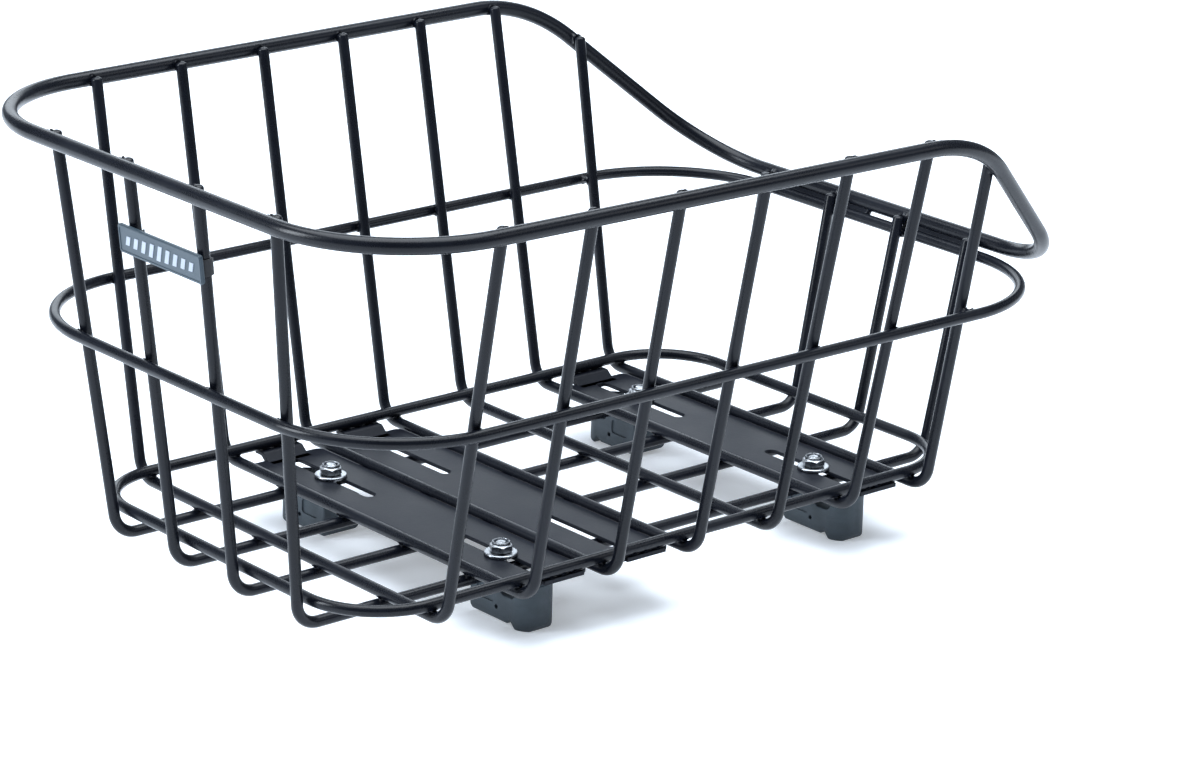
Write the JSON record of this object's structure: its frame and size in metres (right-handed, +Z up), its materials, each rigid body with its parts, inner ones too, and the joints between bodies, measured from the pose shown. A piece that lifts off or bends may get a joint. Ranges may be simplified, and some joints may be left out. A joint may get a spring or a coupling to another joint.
{
  "type": "bicycle rear carrier basket",
  "caption": "Open wire basket for a bicycle's rear carrier, with a rim that dips at the saddle end and bolted clamps under its floor that slide in slots and grip the carrier's rails.",
  "frame": {"origin": "under the middle of the basket, on the plane that its clamps stand on", "axes": "+X towards the low rim at the saddle end, +Y to the left of travel, +Z up"},
  "size_m": [0.4594, 0.3412, 0.2239],
  "materials": {
    "frame_paint": "satin black powder coat",
    "sheet_paint": "fine matt black powder coat",
    "hook_nylon": "moulded slate grey nylon",
    "zinc": "bright zinc plating",
    "badge": "satin grey-blue",
    "clip_plastic": "matt black"
  },
  "bodies": {
    "basket": {"rim_tube": "frame_paint", "middle_ring": "frame_paint", "base_ring": "frame_paint", "cross_wire_1": "frame_paint", "cross_wire_2": "frame_paint", "cross_wire_3": "frame_paint", "cross_wire_4": "frame_paint", "cross_wire_5": "frame_paint", "cross_wire_6": "frame_paint", "cross_wire_7": "frame_paint", "long_wire_1": "frame_paint", "long_wire_2": "frame_paint", "long_wire_3": "frame_paint", "long_wire_4": "frame_paint", "floor_plate_rear": "sheet_paint", "floor_plate_middle": "sheet_paint", "floor_plate_front": "sheet_paint", "badge": "badge", "badge_clip_1": "clip_plastic", "badge_clip_2": "clip_plastic", "front_seam_1": "frame_paint", "front_seam_2": "frame_paint"},
    "carriage_rear_far": {"washer_rear_far": "zinc"},
    "clamp_rear_far": {"hook_rear_far": "hook_nylon", "bolt_rear_far": "zinc"},
    "nut_body_rear_far": {"nut_rear_far": "zinc"},
    "carriage_rear_near": {"washer_rear_near": "zinc"},
    "clamp_rear_near": {"hook_rear_near": "hook_nylon", "bolt_rear_near": "zinc"},
    "nut_body_rear_near": {"nut_rear_near": "zinc"},
    "carriage_front_far": {"washer_front_far": "zinc"},
    "clamp_front_far": {"hook_front_far": "hook_nylon", "bolt_front_far": "zinc"},
    "nut_body_front_far": {"nut_front_far": "zinc"},
    "carriage_front_near": {"washer_front_near": "zinc"},
    "clamp_front_near": {"hook_front_near": "hook_nylon", "bolt_front_near": "zinc"},
    "nut_body_front_near": {"nut_front_near": "zinc"}
  },
  "joints": [
    {"name": "slot_slide_rear_far", "type": "slide", "parent": "basket", "child": "carriage_rear_far", "axis": [0, -1, 0], "range_m": [0, 0.01]},
    {"name": "nut_turn_rear_far", "type": "hinge", "parent": "carriage_rear_far", "child": "nut_body_rear_far", "pos_m": [-0.075, 0.066, 0.03], "axis": [0, 0, 1], "range_deg": [0, 1440]},
    {"name": "clamp_drop_rear_far", "type": "slide", "parent": "carriage_rear_far", "child": "clamp_rear_far", "axis": [0, 0, -1], "range_m": [0, 0.004]},
    {"name": "slot_slide_rear_near", "type": "slide", "parent": "basket", "child": "carriage_rear_near", "axis": [0, 1, 0], "range_m": [0, 0.01]},
    {"name": "nut_turn_rear_near", "type": "hinge", "parent": "carriage_rear_near", "child": "nut_body_rear_near", "pos_m": [-0.075, -0.066, 0.03], "axis": [0, 0, 1], "range_deg": [0, 1440]},
    {"name": "clamp_drop_rear_near", "type": "slide", "parent": "carriage_rear_near", "child": "clamp_rear_near", "axis": [0, 0, -1], "range_m": [0, 0.004]},
    {"name": "slot_slide_front_far", "type": "slide", "parent": "basket", "child": "carriage_front_far", "axis": [0, -1, 0], "range_m": [0, 0.01]},
    {"name": "nut_turn_front_far", "type": "hinge", "parent": "carriage_front_far", "child": "nut_body_front_far", "pos_m": [0.125, 0.066, 0.03], "axis": [0, 0, 1], "range_deg": [0, 1440]},
    {"name": "clamp_drop_front_far", "type": "slide", "parent": "carriage_front_far", "child": "clamp_front_far", "axis": [0, 0, -1], "range_m": [0, 0.004]},
    {"name": "slot_slide_front_near", "type": "slide", "parent": "basket", "child": "carriage_front_near", "axis": [0, 1, 0], "range_m": [0, 0.01]},
    {"name": "nut_turn_front_near", "type": "hinge", "parent": "carriage_front_near", "child": "nut_body_front_near", "pos_m": [0.125, -0.066, 0.03], "axis": [0, 0, 1], "range_deg": [0, 1440]},
    {"name": "clamp_drop_front_near", "type": "slide", "parent": "carriage_front_near", "child": "clamp_front_near", "axis": [0, 0, -1], "range_m": [0, 0.004]}
  ],
  "couplings": [
    {"joint": "nut_turn_rear_far", "follows": "clamp_drop_rear_far", "rad_per_m": 6283.1},
    {"joint": "nut_turn_rear_near", "follows": "clamp_drop_rear_near", "rad_per_m": 6283.1},
    {"joint": "nut_turn_front_far", "follows": "clamp_drop_front_far", "rad_per_m": 6283.1},
    {"joint": "nut_turn_front_near", "follows": "clamp_drop_front_near", "rad_per_m": 6283.1}
  ]
}
